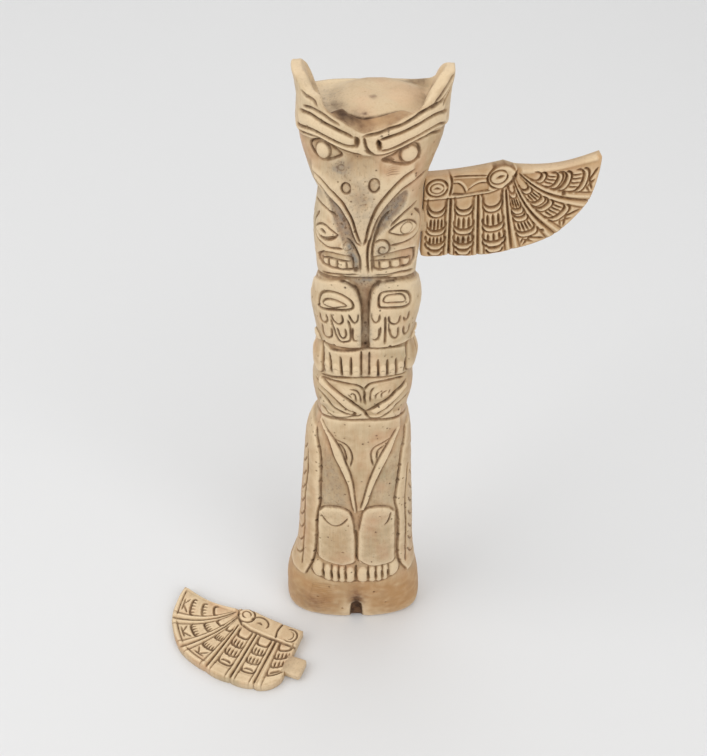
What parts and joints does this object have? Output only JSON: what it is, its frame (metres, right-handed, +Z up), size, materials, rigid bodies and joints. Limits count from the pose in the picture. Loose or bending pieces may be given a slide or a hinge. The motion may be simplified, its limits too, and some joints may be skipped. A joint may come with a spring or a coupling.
{
  "type": "carved bone totem pole with plug-in wings",
  "caption": "Slim carved bone totem pole of stacked animal figures on a flared base, with a feathered wing plugged into its side and its twin lying loose beside it.",
  "frame": {"origin": "middle of the pole's flat underside, on the surface that it stands on", "axes": "+Z up along the pole, carved front towards -Y, fitted wing towards +X"},
  "size_m": [0.1361, 0.0593, 0.2164],
  "materials": {
    "pole_bone": "carved cream bone with a soft satin polish, brown dirt in the cuts and grey porous patches",
    "wing_bone": "carved honey-tinted bone with a satin polish and brown dirt in the cuts"
  },
  "bodies": {
    "root": {"pole": "pole_bone", "fitted_wing": "wing_bone", "loose_wing": "wing_bone"}
  },
  "joints": []
}
